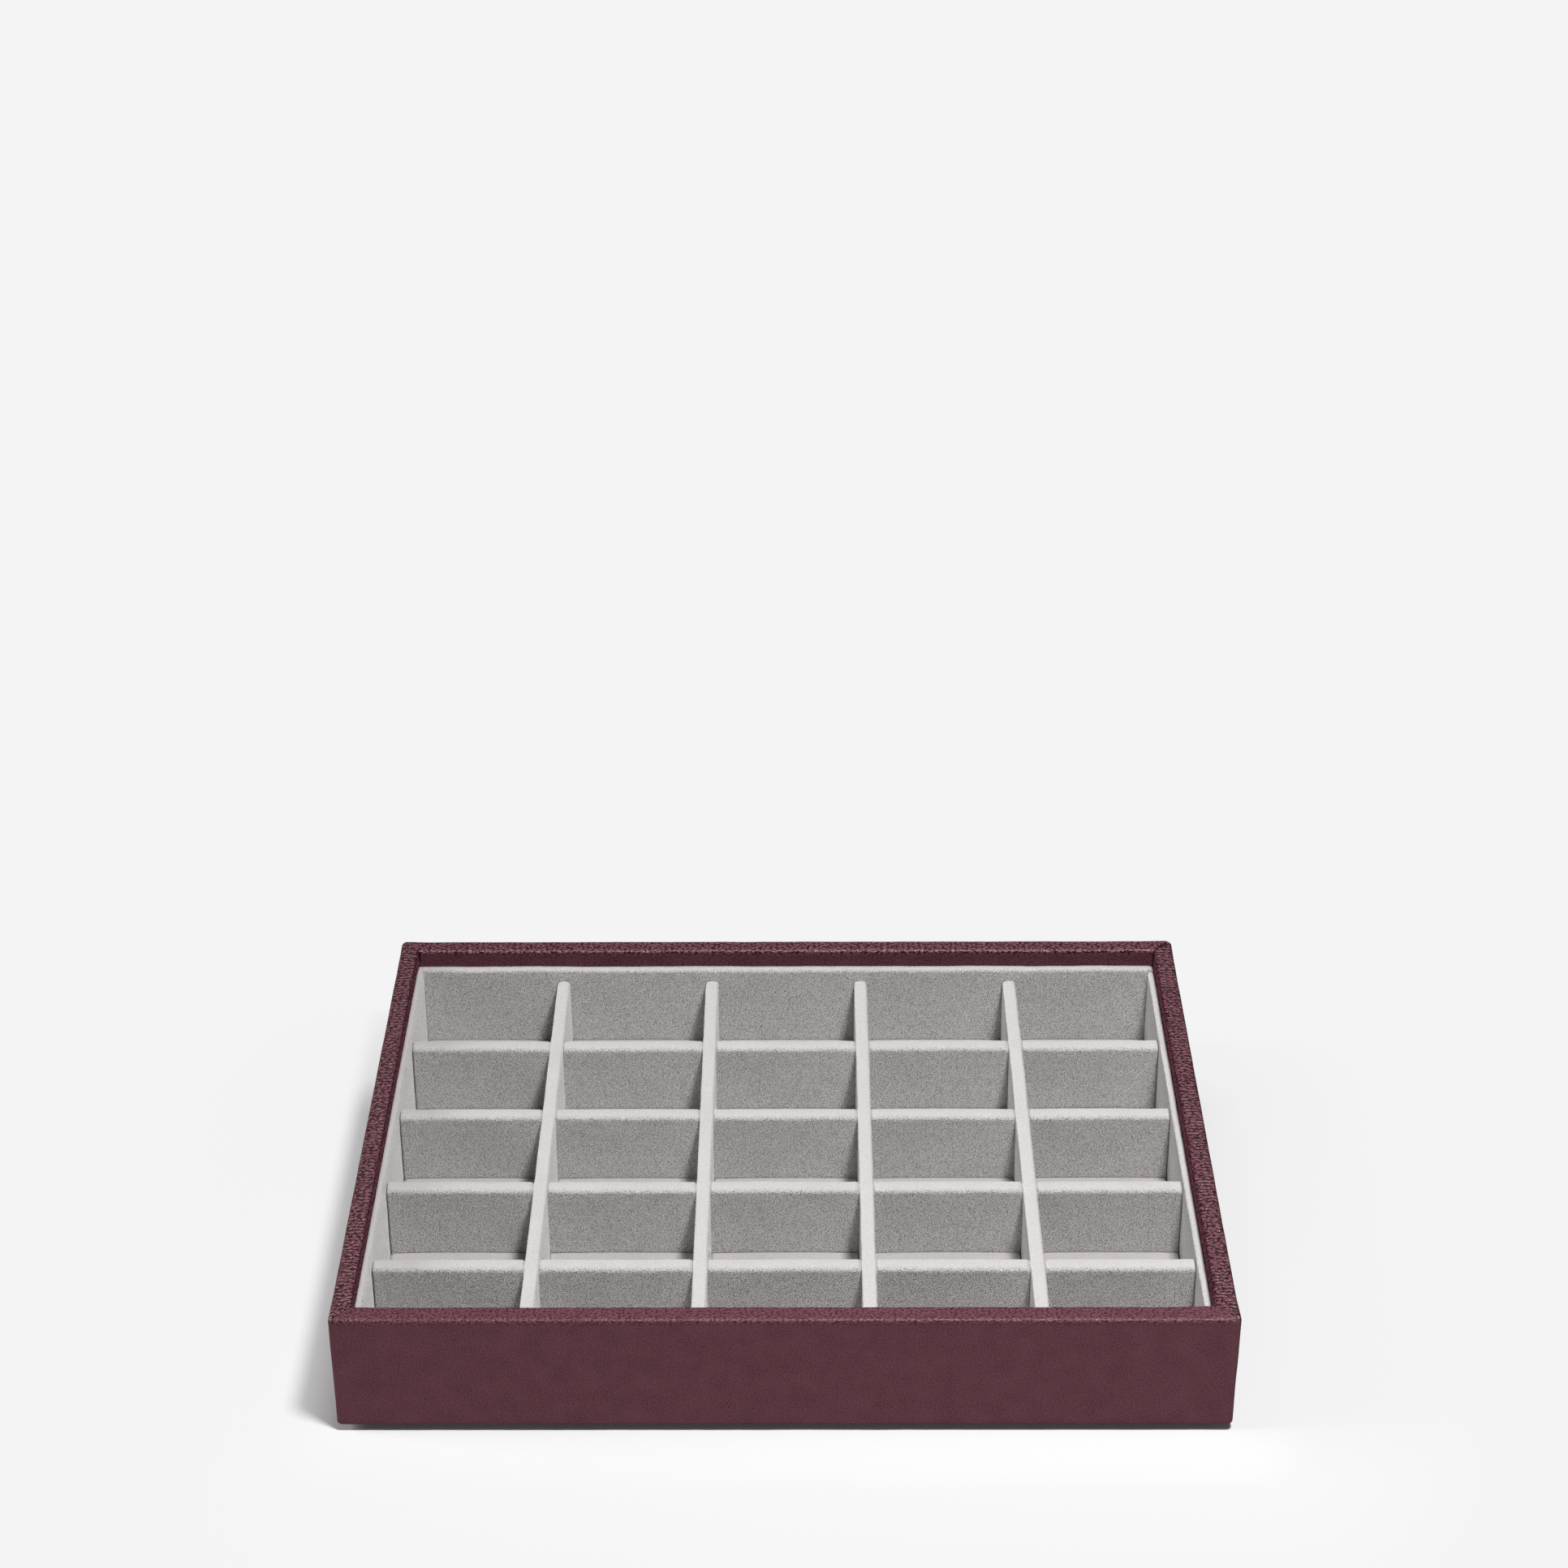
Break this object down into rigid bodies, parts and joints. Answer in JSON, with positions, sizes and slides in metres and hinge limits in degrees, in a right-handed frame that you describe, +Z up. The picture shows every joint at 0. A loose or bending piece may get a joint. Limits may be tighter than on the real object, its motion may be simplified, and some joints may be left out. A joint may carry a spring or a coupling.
{
  "type": "jewelry tray",
  "caption": "Open rectangular leatherette tray with velvet-covered crossing dividers making small compartments, on a set-in plinth for stacking.",
  "frame": {"origin": "middle of the face the tray rests on, under the plinth", "axes": "+X along the tray's width, +Y from the front towards the back, +Z up"},
  "size_m": [0.25, 0.18, 0.04],
  "materials": {
    "leatherette": "plum leatherette, fine pebble grain, satin",
    "fibreboard": "raw medium-density fibreboard",
    "greyboard": "raw dense grey board",
    "velvet": "pale grey short-pile velvet",
    "foam": "thin soft foam sheet",
    "felt": "dark short-fibre felt"
  },
  "bodies": {
    "root": {"leatherette_cover": "leatherette", "front_wall_board": "fibreboard", "back_wall_board": "fibreboard", "left_wall_board": "fibreboard", "right_wall_board": "fibreboard", "floor_board": "fibreboard", "plinth_board": "fibreboard", "front_liner_card": "greyboard", "back_liner_card": "greyboard", "left_liner_card": "greyboard", "right_liner_card": "greyboard", "long_divider_core_1": "greyboard", "long_divider_core_2": "greyboard", "long_divider_core_3": "greyboard", "long_divider_core_4": "greyboard", "cross_divider_core_1": "greyboard", "cross_divider_core_2": "greyboard", "cross_divider_core_3": "greyboard", "cross_divider_core_4": "greyboard", "front_liner_velvet": "velvet", "back_liner_velvet": "velvet", "left_liner_velvet": "velvet", "right_liner_velvet": "velvet", "long_divider_velvet_1": "velvet", "long_divider_velvet_2": "velvet", "long_divider_velvet_3": "velvet", "long_divider_velvet_4": "velvet", "cross_divider_velvet_1": "velvet", "cross_divider_velvet_2": "velvet", "cross_divider_velvet_3": "velvet", "cross_divider_velvet_4": "velvet", "floor_velvet": "velvet", "floor_foam": "foam", "plinth_felt": "felt"}
  },
  "joints": []
}
